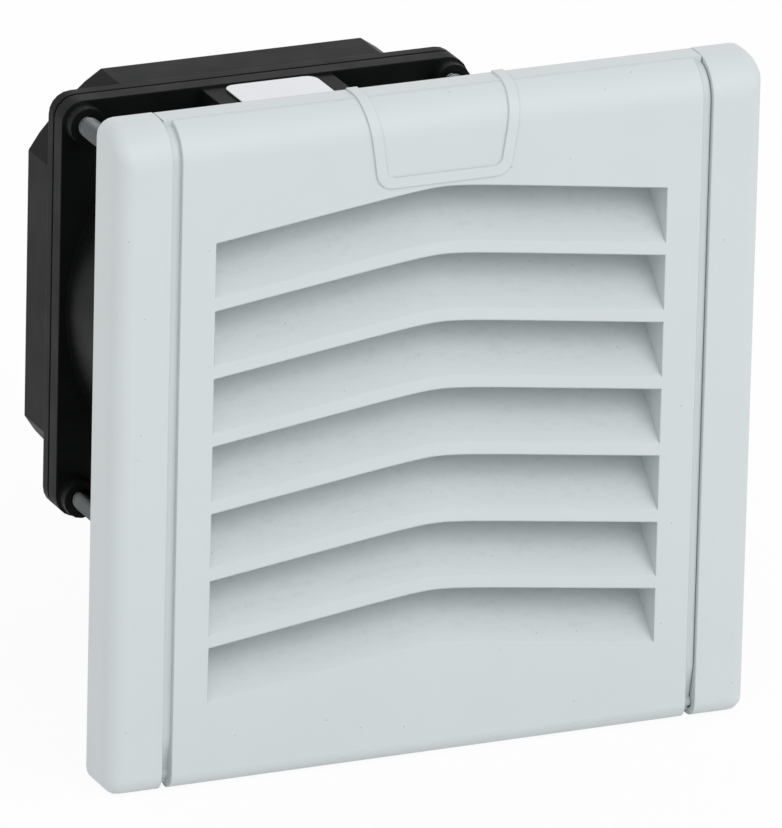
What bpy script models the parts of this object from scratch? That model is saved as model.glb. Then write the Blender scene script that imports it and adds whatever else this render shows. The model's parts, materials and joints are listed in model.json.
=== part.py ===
"""Cabinet filter fan: a louvred face with a filter mat and a compact axial fan behind it.

Metres. X points right, Y into the cabinet and Z up. The origin is the centre of the panel
cut-out, in the plane of the panel's outer face.
"""
import math

import bmesh
import bpy
from mathutils import Matrix, Vector

MM = 0.001

# Clearance between two pieces that seat on each other
GAP = 0.3 * MM

# Square cut-out in the cabinet's panel
CUTOUT = 92.0 * MM
CUTOUT_CLEARANCE = 0.6 * MM
PANEL_THICKNESS = 2.0 * MM

# Face of the base frame, which laps over the panel all round the cut-out
FACE_LAP = 12.25 * MM
FACE_DEPTH = 9.4 * MM
RIM_DEPTH = 3.6 * MM
CORNER_RADIUS = 2.8 * MM
SIDE_RADIUS = 3.2 * MM
TOP_ROLL = 6.5 * MM
BOTTOM_ROLL = 3.0 * MM
STRIP_WIDTH = 9.55 * MM
STRIP_POCKET = 3.6 * MM
STRIP_WALL = 2.2 * MM

# Housing that goes through the panel
HOUSING_WALL = 2.8 * MM
HOUSING_CORNER = 5.0 * MM
HOUSING_STRAIGHT = 22.0 * MM
HOUSING_DEPTH = 39.2 * MM
MOUNT_PLATE = 2.5 * MM
LEDGE_WIDTH = 2.4 * MM
LEDGE_DEPTH = 2.0 * MM
BOSS_RADIUS = 3.6 * MM
BOSS_LENGTH = 10.0 * MM

# Gasket in its groove behind the rim
GASKET_WIDTH = 3.4 * MM
GASKET_DEPTH = 1.7 * MM
GASKET_EDGE = 1.2 * MM

# Louvre cover
COVER_WALL = 2.0 * MM
GROOVE_WIDTH = 1.9 * MM
GROOVE_DEPTH = 0.8 * MM
LIP_WALL = 1.2 * MM
NOTCH_HEIGHT = 8.5 * MM
NOTCH_DEPTH = 1.8 * MM
NOTCH_EDGE = 1.0 * MM
FIELD_MARGIN = 6.2 * MM
FIELD_WALL = 1.4 * MM
LOUVRE_CENTRE = -2.85 * MM
SLOT_COUNT = 7
SLOT_PITCH = 11.85 * MM
SLOT_HEIGHT = 9.65 * MM
BLADE_DEPTH = 7.8 * MM
CHEVRON_RISE = 5.1 * MM
CHEVRON_ROUND = 4.0 * MM
BADGE_WIDTH = 24.5 * MM
BADGE_FLARE_ANGLE = 8.5
BADGE_RIM = 1.9 * MM
BADGE_RAISE = 0.3 * MM
BADGE_CORNER = 3.0 * MM
BADGE_DROP = 0.8 * MM
HINGE_RADIUS = 2.7 * MM
STUD_RADIUS = 1.1 * MM
STUD_LENGTH = 2.0 * MM
PEG_SPACING = 62.0 * MM
PEG_WIDTH = 6.0 * MM
PEG_THICKNESS = 1.8 * MM
PEG_REACH = 1.9 * MM
PEG_EDGE = 1.1 * MM

# Filter mat and the grid that carries it
MAT_THICKNESS = 9.9 * MM
GRID_THICKNESS = 2.5 * MM
GRID_RIB = 1.4 * MM
GRID_BORDER = 3.0 * MM
GRID_CELLS = 8

# Spring clips behind the cut-out
CLIP_WIDTH = 12.0 * MM
CLIP_LENGTH = 15.2 * MM
CLIP_THICKNESS = 1.2 * MM
CLIP_BARB = 1.9 * MM
CLIP_RAMP = 6.0 * MM
CLIP_SLACK = 0.6 * MM
KNUCKLE_RADIUS = 1.1 * MM
TRUNNION_RADIUS = 0.8 * MM
TRUNNION_LENGTH = 1.2 * MM

# Fan frame
FAN_CORNER = 3.8 * MM
FRONT_FLANGE = 3.0 * MM
FLANGE_SPACE = 22.5 * MM
REAR_FLANGE = 6.0 * MM
REAR_LIP = 2.2 * MM
FLANGE_GROOVE = 0.5 * MM
COLLAR_DEPTH = 9.3 * MM
COLLAR_EDGE = 0.3 * MM
COLLAR_SPACE = 0.4 * MM
DUCT_RADIUS = 34.2 * MM
DUCT_WALL = 1.7 * MM
FLANGE_EDGE = 1.4 * MM
HOLE_EDGE = 3.8 * MM
SPACER_RADIUS = 3.3 * MM
SPACER_LENGTH = 2.6 * MM
PAD_WIDTH = 24.0 * MM
PAD_RECESS = 0.4 * MM
LABEL_WIDTH = 16.8 * MM
LABEL_FRONT_MARGIN = 2.7 * MM
LABEL_BACK_MARGIN = 0.8 * MM
LABEL_THICKNESS = 0.2 * MM
LABEL_CORNER = 2.0 * MM
STRUT_COUNT = 4
STRUT_WIDTH = 3.2 * MM
STRUT_DEPTH = 4.0 * MM
BASE_THICKNESS = 3.0 * MM

# Screws that hold the fan
SCREW_RADIUS = 1.6 * MM
SCREW_HEAD_RADIUS = 2.8 * MM
SCREW_HEAD_HEIGHT = 2.4 * MM
SCREW_BITE = 8.7 * MM

# Impeller
HUB_WALL = 1.8 * MM
HUB_FRONT = 5.5 * MM
HUB_RUNNING_GAP = 1.5 * MM
BLADE_COUNT = 5
BLADE_THICKNESS = 1.5 * MM
BLADE_LENGTH = 18.0 * MM
TIP_CLEARANCE = 0.7 * MM

# Motor
ROTOR_WALL = 2.0 * MM
ROTOR_DISC = 1.5 * MM
AIR_GAP = 0.5 * MM
TUBE_WALL = 1.3 * MM
BEARING_RING = 2.1 * MM
BEARING_WIDTH = 3.5 * MM
SHAFT_RADIUS = 2.0 * MM
CLIP_RING = 1.3 * MM
CLIP_RING_THICKNESS = 0.6 * MM
CORE_LENGTH = 10.0 * MM
CORE_RING = 1.7 * MM
POLE_REACH = 4.4 * MM
POLE_COUNT = 4
POLE_WIDTH = 6.0 * MM
SHOE_THICKNESS = 2.0 * MM
SHOE_HALF_ANGLE = 36.0
COIL_THICKNESS = 1.8 * MM

# Electrical connection
BLOCK_WIDTH = 5.4 * MM
BLOCK_MARGIN = 1.6 * MM
BLOCK_DEPTH = 9.0 * MM
TAB_WIDTH = 2.8 * MM
TAB_THICKNESS = 0.5 * MM
TAB_ROOM = 3.2 * MM
EARTH_WIDTH = 6.0 * MM
EARTH_HEIGHT = 8.0 * MM
EARTH_THICKNESS = 0.8 * MM
EARTH_TAB_LENGTH = 9.0 * MM
EARTH_SCREW_RADIUS = 1.4 * MM
EARTH_HEAD_RADIUS = 2.5 * MM
EARTH_HEAD_HEIGHT = 1.6 * MM

# Places worked out from the sizes above
HALF = CUTOUT / 2 + FACE_LAP
FRONT = -FACE_DEPTH
STRIP_INNER = HALF - STRIP_WIDTH
COVER_HALF = STRIP_INNER - GROOVE_WIDTH
FIELD_HALF = COVER_HALF - FIELD_MARGIN
LOUVRE_HEIGHT = (SLOT_COUNT - 1) * SLOT_PITCH + SLOT_HEIGHT
LOUVRE_TOP = LOUVRE_CENTRE + LOUVRE_HEIGHT / 2
LOUVRE_BOTTOM = LOUVRE_TOP - LOUVRE_HEIGHT
BLOCK_HALF = FIELD_HALF + FIELD_WALL
BLOCK_TOP = LOUVRE_TOP + CHEVRON_RISE + FIELD_WALL
BLOCK_BOTTOM = LOUVRE_BOTTOM - 2 * FIELD_WALL
BLOCK_BACK = FRONT + BLADE_DEPTH
BADGE_BOTTOM = LOUVRE_TOP + CHEVRON_RISE + BADGE_DROP
HINGE_Y = -(RIM_DEPTH + GAP + HINGE_RADIUS)
HINGE_Z = HINGE_RADIUS - HALF
HOUSING_HALF = CUTOUT / 2 - CUTOUT_CLEARANCE
CAVITY_HALF = HOUSING_HALF - HOUSING_WALL
MAT_FRONT = BLOCK_BACK + 2 * GAP
MAT_BACK = MAT_FRONT + MAT_THICKNESS
GRID_FRONT = MAT_BACK + GAP
GRID_BACK = GRID_FRONT + GRID_THICKNESS
LEDGE_FRONT = GRID_BACK + GAP
LEDGE_BACK = LEDGE_FRONT + LEDGE_DEPTH
GASKET_INNER = CUTOUT / 2 + GASKET_EDGE + GAP
GASKET_OUTER = GASKET_INNER + GASKET_WIDTH
RIM_TOP = HALF - COVER_WALL - GAP
PEG_Z = RIM_TOP - PEG_EDGE - GAP - PEG_THICKNESS / 2
CLIP_FRONT = PANEL_THICKNESS + CLIP_SLACK
CLIP_PIVOT_Y = CLIP_FRONT + CLIP_LENGTH
CLIP_PIVOT_R = HOUSING_HALF - HOUSING_WALL / 2
DUCT_OUTER = DUCT_RADIUS + DUCT_WALL
FAN_HALF = DUCT_OUTER + FLANGE_EDGE
FAN_FRONT = HOUSING_DEPTH + GAP
SPACE_FRONT = FAN_FRONT + FRONT_FLANGE
FLANGE_FRONT = SPACE_FRONT + FLANGE_SPACE
FLANGE_BACK = FLANGE_FRONT + REAR_FLANGE
FAN_BACK = FLANGE_BACK + COLLAR_DEPTH
HOLE = FAN_HALF - HOLE_EDGE
HOLE_RADIUS = SCREW_RADIUS + GAP
COLLAR_HALF = FAN_HALF - COLLAR_EDGE
COLLAR_RADIUS = HOLE * math.sqrt(2) - SCREW_HEAD_RADIUS - COLLAR_SPACE
BASE_FRONT = FAN_BACK - BASE_THICKNESS
BEARING_RADIUS = SHAFT_RADIUS + GAP + BEARING_RING
TUBE_BORE = BEARING_RADIUS + GAP
TUBE_RADIUS = TUBE_BORE + TUBE_WALL
CORE_BORE = TUBE_RADIUS + GAP
SHOE_RADIUS = CORE_BORE + CORE_RING + POLE_REACH
CORE_RADIUS = SHOE_RADIUS + SHOE_THICKNESS
CUP_RADIUS = CORE_RADIUS + AIR_GAP + ROTOR_WALL
HUB_RADIUS = CUP_RADIUS + GAP + HUB_WALL
HUB_START = FAN_FRONT + HUB_FRONT
HUB_END = BASE_FRONT - HUB_RUNNING_GAP
CUP_START = HUB_START + HUB_WALL + GAP
CUP_END = HUB_END - 2 * GAP
TUBE_START = CUP_START + ROTOR_DISC + 2.5 * MM
CORE_MIDDLE = (TUBE_START + BASE_FRONT) / 2
CORE_START = CORE_MIDDLE - CORE_LENGTH / 2
CORE_END = CORE_MIDDLE + CORE_LENGTH / 2
FRONT_BEARING = TUBE_START + 0.5 * MM
REAR_BEARING = BASE_FRONT - 2.5 * MM - BEARING_WIDTH

# Segments of round forms
ROUND_SEGMENTS = 48
SMALL_SEGMENTS = 16
TINY_SEGMENTS = 12
CORNER_STEPS = 5
ROLL_STEPS = 7


def material(name, colour, roughness, metallic=0.0):
    """One plain Principled material."""
    made = bpy.data.materials.new(name)
    made.use_nodes = True
    shader = made.node_tree.nodes["Principled BSDF"]
    shader.inputs["Base Color"].default_value = (*colour, 1.0)
    shader.inputs["Roughness"].default_value = roughness
    shader.inputs["Metallic"].default_value = metallic
    made.diffuse_color = (*colour, 1.0)
    return made


def make(name, verts, faces):
    """Object from points and faces, with its faces turned outwards."""
    mesh = bpy.data.meshes.new(name)
    shape = bmesh.new()
    points = [shape.verts.new(v) for v in verts]
    for face in faces:
        shape.faces.new([points[i] for i in face])
    bmesh.ops.recalc_face_normals(shape, faces=shape.faces)
    shape.to_mesh(mesh)
    shape.free()
    made = bpy.data.objects.new(name, mesh)
    bpy.context.scene.collection.objects.link(made)
    return made


def loft(name, loops, closed=False):
    """Skin over loops of equal point counts, capped at both ends or closed into a ring."""
    count = len(loops[0])
    verts = [point for ring in loops for point in ring]
    faces = []
    spans = len(loops) if closed else len(loops) - 1
    for row in range(spans):
        here = row * count
        there = (row + 1) % len(loops) * count
        for i in range(count):
            j = (i + 1) % count
            faces.append((here + i, here + j, there + j, there + i))
    if not closed:
        faces.append(tuple(range(count)))
        faces.append(tuple(range(len(verts) - count, len(verts))))
    return make(name, verts, faces)


def box(name, low, high):
    """Block between two corners."""
    loops = []
    for y in (low[1], high[1]):
        loops.append([
            (low[0], y, low[2]), (high[0], y, low[2]), (high[0], y, high[2]), (low[0], y, high[2]),
        ])
    return loft(name, loops)


def rounded(left, right, bottom, top, radius, steps=CORNER_STEPS):
    """Outline of a rounded rectangle as (x, z) points."""
    points = []
    corners = (
        (right - radius, top - radius, 0), (left + radius, top - radius, 90),
        (left + radius, bottom + radius, 180), (right - radius, bottom + radius, 270),
    )
    for x, z, start in corners:
        for step in range(steps + 1):
            angle = math.radians(start + 90 * step / steps)
            points.append((x + radius * math.cos(angle), z + radius * math.sin(angle)))
    return points


def plate(name, outline, front, back):
    """Outline of (x, z) points extruded from front to back."""
    return loft(name, [[(x, y, z) for x, z in outline] for y in (front, back)])


def square_ring(name, profile, radius):
    """Closed profile of (y, half size) points carried round a rounded square."""
    loops = []
    for y, half in profile:
        corner = max(radius + half - profile[0][1], 1.0 * MM)
        loops.append([(x, y, z) for x, z in rounded(-half, half, -half, half, corner)])
    return loft(name, loops, closed=True)


def circle(radius, segments, x=0.0, z=0.0):
    """Circle as (x, z) points."""
    turn = 2 * math.pi / segments
    return [
        (x + radius * math.cos(i * turn), z + radius * math.sin(i * turn)) for i in range(segments)
    ]


def rod(name, radius, front, back, x=0.0, z=0.0, segments=ROUND_SEGMENTS):
    """Cylinder along Y."""
    return plate(name, circle(radius, segments, x, z), front, back)


def tube(name, inner, outer, front, back, segments=ROUND_SEGMENTS):
    """Hollow cylinder along Y round the fan's axis."""
    loops = []
    for radius, y in ((outer, front), (outer, back), (inner, back), (inner, front)):
        loops.append([(x, y, z) for x, z in circle(radius, segments)])
    return loft(name, loops, closed=True)


def turned(name, profile, segments, x=0.0, z=0.0):
    """Solid turned round an axis along Y from (radius, y) points, flat at both ends."""
    loops = []
    for radius, y in profile:
        loops.append([(px, y, pz) for px, pz in circle(radius, segments, x, z)])
    return loft(name, loops)


def side_rod(name, radius, left, right, y, z, segments=SMALL_SEGMENTS):
    """Cylinder along X."""
    loops = []
    for x in (left, right):
        loops.append([(x, y + a, z + b) for a, b in circle(radius, segments)])
    return loft(name, loops)


def combine(target, tool, operation):
    """Apply one Boolean and drop the tool."""
    modifier = target.modifiers.new("Boolean", "BOOLEAN")
    modifier.operation = operation
    modifier.solver = "EXACT"
    modifier.object = tool
    depsgraph = bpy.context.evaluated_depsgraph_get()
    mesh = bpy.data.meshes.new_from_object(target.evaluated_get(depsgraph))
    old = target.data
    target.modifiers.clear()
    target.data = mesh
    bpy.data.meshes.remove(old)
    bpy.data.objects.remove(tool)


def cut(target, *tools):
    """Take each tool away from the target."""
    for tool in tools:
        combine(target, tool, "DIFFERENCE")


def add(target, *tools):
    """Fuse each tool with the target."""
    for tool in tools:
        combine(target, tool, "UNION")


def keep(target, tool):
    """Keep only what lies inside the tool."""
    combine(target, tool, "INTERSECT")


def turn(target, degrees):
    """Turn the mesh about the fan's axis."""
    target.data.transform(Matrix.Rotation(math.radians(degrees), 4, "Y"))


def finish(target, name, look, origin=(0, 0, 0), smooth=30):
    """Name the piece, give it its look and put its origin where it turns."""
    target.name = name
    target.data.name = name
    target.data.transform(Matrix.Translation(-Vector(origin)))
    target.location = origin
    target.data.materials.clear()
    target.data.materials.append(look)
    target.data.shade_smooth()
    target.data.set_sharp_from_angle(angle=math.radians(smooth))
    return target


def roll_inset(radius, depth):
    """How far a rolled edge of this radius has drawn in at a depth behind the front."""
    if depth >= radius or radius <= 0:
        return 0.0
    return radius - math.sqrt(radius ** 2 - (radius - depth) ** 2)


def face_solid(name, inset):
    """The whole face as one solid, or the same form drawn in by an inset all over."""
    top, bottom, side = (max(r - inset, 0.6 * MM) for r in (TOP_ROLL, BOTTOM_ROLL, SIDE_RADIUS))
    half = HALF - inset
    depths = [top * (1 - math.cos(math.radians(90 * i / ROLL_STEPS))) for i in range(ROLL_STEPS + 1)]
    loops = []
    for depth in depths + [FACE_DEPTH - inset]:
        sides = half - roll_inset(side, depth)
        low = roll_inset(bottom, depth) - half
        high = half - roll_inset(top, depth)
        radius = max(CORNER_RADIUS - inset - roll_inset(side, depth), 0.6 * MM)
        y = FRONT + inset + depth
        loops.append([(x, y, z) for x, z in rounded(-sides, sides, low, high, radius)])
    return loft(name, loops)


def band(name, left, right, front, back, low=-2 * HALF, high=2 * HALF):
    """Tall block used to split the face between cover and frame."""
    return box(name, (left, front, low), (right, back, high))


def chevron(x):
    """Rise of the louvre line above its ends at a distance from the middle."""
    lift = math.hypot(FIELD_HALF, CHEVRON_ROUND) - math.hypot(x, CHEVRON_ROUND)
    return CHEVRON_RISE * lift / (math.hypot(FIELD_HALF, CHEVRON_ROUND) - CHEVRON_ROUND)


def slot(name, top, height, front, back):
    """Slanted space between two blades, following the chevron and rising at 45 degrees."""
    steps = [0, 0.25, 0.5, 1, 1.7, 3]
    places = sorted({side * s * CHEVRON_ROUND for s in steps for side in (-1, 1)})
    loops = []
    for x in [-FIELD_HALF] + places + [FIELD_HALF]:
        ring = []
        for y, drop in ((front, 0), (back, 0), (back, height), (front, height)):
            ring.append((x, y, top - drop + chevron(x) + y - FRONT))
        loops.append(ring)
    return loft(name, loops)


def base_housing():
    """Square tube through the panel, its ledge for the grid and its taper to the fan plate."""
    taper = HOUSING_HALF - FAN_HALF
    inner_end = FAN_HALF - HOUSING_WALL
    start = (BLOCK_BACK + GAP) / 2
    profile = [
        (start, HOUSING_HALF), (HOUSING_STRAIGHT, HOUSING_HALF),
        (HOUSING_DEPTH - MOUNT_PLATE - taper / 2, FAN_HALF), (HOUSING_DEPTH, FAN_HALF),
        (HOUSING_DEPTH, inner_end), (HOUSING_DEPTH - MOUNT_PLATE - taper / 2, inner_end),
        (HOUSING_STRAIGHT, CAVITY_HALF), (LEDGE_BACK, CAVITY_HALF),
        (LEDGE_BACK, CAVITY_HALF - LEDGE_WIDTH), (LEDGE_FRONT, CAVITY_HALF - LEDGE_WIDTH),
        (LEDGE_FRONT, CAVITY_HALF), (start, CAVITY_HALF),
    ]
    return square_ring("housing", profile, HOUSING_CORNER)


def mount_plate():
    """Plate with the round air inlet and the four screw bosses."""
    half = FAN_HALF - HOUSING_WALL / 2
    front = HOUSING_DEPTH - MOUNT_PLATE
    sheet = plate("plate", rounded(-half, half, -half, half, FAN_CORNER), front, HOUSING_DEPTH)
    for x, z in hole_places():
        boss_front = HOUSING_DEPTH - BOSS_LENGTH
        add(sheet, rod("boss", BOSS_RADIUS, boss_front, HOUSING_DEPTH, x, z, SMALL_SEGMENTS))
    cut(sheet, rod("inlet", DUCT_RADIUS, front - BOSS_LENGTH, HOUSING_DEPTH + MM))
    return sheet


def hole_places():
    """The four screw axes as (x, z)."""
    return [(-HOLE, HOLE), (HOLE, HOLE), (HOLE, -HOLE), (-HOLE, -HOLE)]


def clip_window(index):
    """Opening in a housing wall for one spring clip, with the bores of its trunnions."""
    half = CLIP_WIDTH / 2 + GAP
    window = box(
        "window",
        (-half, CLIP_FRONT - CLIP_SLACK, CAVITY_HALF - GAP),
        (half, CLIP_PIVOT_Y + KNUCKLE_RADIUS + GAP, HOUSING_HALF + MM),
    )
    reach = half + TRUNNION_LENGTH
    bore = TRUNNION_RADIUS + GAP
    add(window, side_rod("bore", bore, -reach, reach, CLIP_PIVOT_Y, CLIP_PIVOT_R, TINY_SEGMENTS))
    turn(window, 90 * index)
    return window


def base_frame(look):
    """Rim, side strips, housing and fan plate in one moulding."""
    frame = face_solid("base_frame", 0)
    cut(frame, band("channel", -STRIP_INNER, STRIP_INNER, 2 * FRONT, -RIM_DEPTH))
    cut(frame, band("top_seat", -STRIP_INNER, STRIP_INNER, FRONT, MM, RIM_TOP))
    recess_half = BLOCK_HALF + GAP
    cut(frame, box(
        "recess",
        (-recess_half, -RIM_DEPTH - MM, BLOCK_BOTTOM - GAP),
        (recess_half, BLOCK_BACK + GAP, BLOCK_TOP + GAP),
    ))
    corner = HOUSING_CORNER - HOUSING_WALL
    through = rounded(-CAVITY_HALF, CAVITY_HALF, -CAVITY_HALF, CAVITY_HALF, corner)
    cut(frame, plate("through", through, FRONT, MM))
    add(frame, base_housing(), mount_plate())
    groove = [
        (MM, GASKET_OUTER + GAP), (MM, GASKET_INNER - GAP),
        (-GASKET_DEPTH - GAP, GASKET_INNER - GAP), (-GASKET_DEPTH - GAP, GASKET_OUTER + GAP),
    ]
    cut(frame, square_ring("groove", groove, HOUSING_CORNER))
    for side in (-1, 1):
        outer = side * (HALF - STRIP_WALL)
        inner = side * (HALF - STRIP_WALL - STRIP_POCKET)
        height = HALF - TOP_ROLL
        left, right = sorted((outer, inner))
        cut(frame, band("pocket", left, right, FRONT + STRIP_WALL, MM, -height, height))
        socket = sorted((side * (STRIP_INNER - MM), side * (STRIP_INNER + STUD_LENGTH + GAP)))
        cut(frame, side_rod("socket", STUD_RADIUS + GAP, *socket, HINGE_Y, HINGE_Z))
        x = side * PEG_SPACING / 2
        cut(frame, box(
            "peg_slot",
            (x - PEG_WIDTH / 2 - GAP, -RIM_DEPTH - MM, PEG_Z - PEG_THICKNESS / 2 - GAP),
            (x + PEG_WIDTH / 2 + GAP, GAP + PEG_REACH - RIM_DEPTH, PEG_Z + PEG_THICKNESS / 2 + GAP),
        ))
    for x, z in hole_places():
        cut(frame, rod("bore", HOLE_RADIUS, FAN_FRONT - BOSS_LENGTH - MM, FAN_FRONT, x, z, SMALL_SEGMENTS))
    for index in range(4):
        cut(frame, clip_window(index))
    return finish(frame, "base_frame", look)


def badge_outline(half, bottom, corner):
    """Outline with a flat bottom, round lower corners and sides that lean outwards, as (x, z)."""
    lean = math.radians(BADGE_FLARE_ANGLE)
    right = []
    for step in range(CORNER_STEPS + 1):
        angle = -math.pi / 2 + (math.pi / 2 - lean) * step / CORNER_STEPS
        right.append((half - corner + corner * math.cos(angle), bottom + corner + corner * math.sin(angle)))
    x, z = right[-1]
    top = 2 * HALF
    right.append((x + (top - z) * math.tan(lean), top))
    return right + [(-x, z) for x, z in reversed(right)]


def badge_rim():
    """Raised U-shaped rim round the bare badge place, carried over the top roll to the back."""
    rim = face_solid("badge_rim", -BADGE_RAISE)
    half = BADGE_WIDTH / 2
    outer = badge_outline(half, BADGE_BOTTOM, BADGE_CORNER)
    inner = badge_outline(half - BADGE_RIM, BADGE_BOTTOM + BADGE_RIM, BADGE_CORNER / 2)
    keep(rim, plate("outer", outer, 2 * FRONT, -GAP))
    cut(rim, plate("inner", inner, 3 * FRONT, MM))
    cut(rim, face_solid("under", COVER_WALL / 2))
    return rim


def lip_band(half, back):
    """Block that bounds the lips: near the lower edge their floor slopes back to a short end."""
    floor = FRONT + GROOVE_DEPTH
    low = NOTCH_EDGE - HALF
    outline = [
        (2 * FRONT, 2 * HALF), (back, 2 * HALF), (back, low), (floor + NOTCH_DEPTH, low),
        (floor, low + NOTCH_HEIGHT), (2 * FRONT, low + NOTCH_HEIGHT),
    ]
    return loft("lip_band", [[(x, y, z) for y, z in outline] for x in (-half, half)])


def louvre_block():
    """Solid behind the front wall that the slots divide into blades, open under the last blade."""
    block = box(
        "block",
        (-BLOCK_HALF, FRONT + COVER_WALL / 2, BLOCK_BOTTOM),
        (BLOCK_HALF, BLOCK_BACK, BLOCK_TOP),
    )
    under = LOUVRE_TOP - SLOT_COUNT * SLOT_PITCH
    cut(block, slot("under", under, 2 * SLOT_PITCH, FRONT + COVER_WALL, BLOCK_BACK + MM))
    return block


def louvre_cover(look):
    """Rolled cover with seven slanted chevron slots, the badge rim, hinge studs and catch pegs."""
    back = -RIM_DEPTH - GAP
    cover = face_solid("louvre_cover", 0)
    keep(cover, band("middle", -COVER_HALF, COVER_HALF, 2 * FRONT, back))
    lip_half = STRIP_INNER - GAP
    lip = face_solid("lip", GROOVE_DEPTH)
    keep(lip, lip_band(lip_half, back))
    add(cover, lip)
    inner_half = COVER_HALF - COVER_WALL
    hollow = face_solid("hollow", COVER_WALL)
    keep(hollow, band("inner_band", -inner_half, inner_half, 2 * FRONT, MM))
    cut(cover, hollow)
    behind_lip = face_solid("behind_lip", GROOVE_DEPTH + LIP_WALL)
    solid_end = NOTCH_EDGE + NOTCH_HEIGHT - HALF
    cut_band = band("cut_band", -lip_half - MM, lip_half + MM, 2 * FRONT, MM, solid_end)
    keep(behind_lip, cut_band)
    cut(behind_lip, band("spared", -COVER_HALF, COVER_HALF, 3 * FRONT, 2 * MM))
    cut(cover, behind_lip)
    add(cover, louvre_block())
    add(cover, box(
        "top_return",
        (-lip_half, back - LIP_WALL / 2, HALF - COVER_WALL),
        (lip_half, -GAP, HALF),
    ))
    for index in range(SLOT_COUNT):
        top = LOUVRE_TOP - index * SLOT_PITCH
        cut(cover, slot("slot", top, SLOT_HEIGHT, FRONT - MM, BLOCK_BACK + MM))
    add(cover, badge_rim())
    cut(cover, hinge_relief())
    for side in (-1, 1):
        stud = sorted((side * (COVER_HALF - COVER_WALL / 2), side * (STRIP_INNER + STUD_LENGTH)))
        add(cover, side_rod("stud", STUD_RADIUS, *stud, HINGE_Y, HINGE_Z))
        x = side * PEG_SPACING / 2
        add(cover, box(
            "peg",
            (x - PEG_WIDTH / 2, FRONT + COVER_WALL / 2, PEG_Z - PEG_THICKNESS / 2),
            (x + PEG_WIDTH / 2, PEG_REACH - RIM_DEPTH, PEG_Z + PEG_THICKNESS / 2),
        ))
    return finish(cover, "louvre_cover", look, (0, HINGE_Y, HINGE_Z))


def hinge_relief():
    """What the bottom edge loses so that it turns about the studs without touching the rim."""
    relief = box(
        "relief",
        (-HALF, HINGE_Y, HINGE_Z - 2 * HINGE_RADIUS),
        (HALF, HINGE_Y + 2 * HINGE_RADIUS, HINGE_Z),
    )
    cut(relief, side_rod("turning", HINGE_RADIUS, -2 * HALF, 2 * HALF, HINGE_Y, HINGE_Z, ROUND_SEGMENTS))
    return relief


def filter_mat(look):
    """Square mat between the louvres and the support grid."""
    half = CAVITY_HALF - 1.3 * GAP
    corner = HOUSING_CORNER - HOUSING_WALL
    mat = plate("filter_mat", rounded(-half, half, -half, half, corner), MAT_FRONT, MAT_BACK)
    return finish(mat, "filter_mat", look)


def support_grid(look):
    """Flat grid that carries the filter mat."""
    half = CAVITY_HALF - 1.3 * GAP
    corner = HOUSING_CORNER - HOUSING_WALL
    grid = plate("support_grid", rounded(-half, half, -half, half, corner), GRID_FRONT, GRID_BACK)
    inner = half - GRID_BORDER
    cell = (2 * inner - (GRID_CELLS - 1) * GRID_RIB) / GRID_CELLS
    for row in range(GRID_CELLS):
        low = -inner + row * (cell + GRID_RIB)
        for column in range(GRID_CELLS):
            left = -inner + column * (cell + GRID_RIB)
            cut(grid, box("cell", (left, GRID_FRONT - MM, low), (left + cell, GRID_BACK + MM, low + cell)))
    return finish(grid, "filter_support_grid", look)


def gasket(look):
    """Foam gasket in the groove behind the rim."""
    profile = [
        (0, GASKET_OUTER), (0, GASKET_INNER), (-GASKET_DEPTH, GASKET_INNER), (-GASKET_DEPTH, GASKET_OUTER),
    ]
    return finish(square_ring("panel_gasket", profile, HOUSING_CORNER), "panel_gasket", look)


def spring_clip(index, look):
    """Clip with a ramped barb that catches behind the panel, on two small trunnions."""
    half = CLIP_WIDTH / 2
    outer = HOUSING_HALF
    inner = outer - CLIP_THICKNESS
    profile = [
        (CLIP_FRONT, inner), (CLIP_PIVOT_Y, inner), (CLIP_PIVOT_Y, outer),
        (CLIP_FRONT + CLIP_RAMP, outer), (CLIP_FRONT + CLIP_BARB / 2, outer + CLIP_BARB),
        (CLIP_FRONT, outer + CLIP_BARB),
    ]
    clip = loft("clip", [[(x, y, z) for y, z in profile] for x in (-half, half)])
    add(clip, side_rod("knuckle", KNUCKLE_RADIUS, -half, half, CLIP_PIVOT_Y, CLIP_PIVOT_R, SMALL_SEGMENTS))
    reach = half + TRUNNION_LENGTH
    pivot_place = (CLIP_PIVOT_Y, CLIP_PIVOT_R, TINY_SEGMENTS)
    add(clip, side_rod("trunnion", TRUNNION_RADIUS, -reach, reach, *pivot_place))
    turn(clip, 90 * index)
    pivot = Matrix.Rotation(math.radians(90 * index), 3, "Y") @ Vector((0, CLIP_PIVOT_Y, CLIP_PIVOT_R))
    return finish(clip, f"snap_clip_{index + 1}", look, pivot)


def fan_flange(name, front, back, half=FAN_HALF):
    """Square flange with rounded corners."""
    return plate(name, rounded(-half, half, -half, half, FAN_CORNER), front, back)


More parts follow.
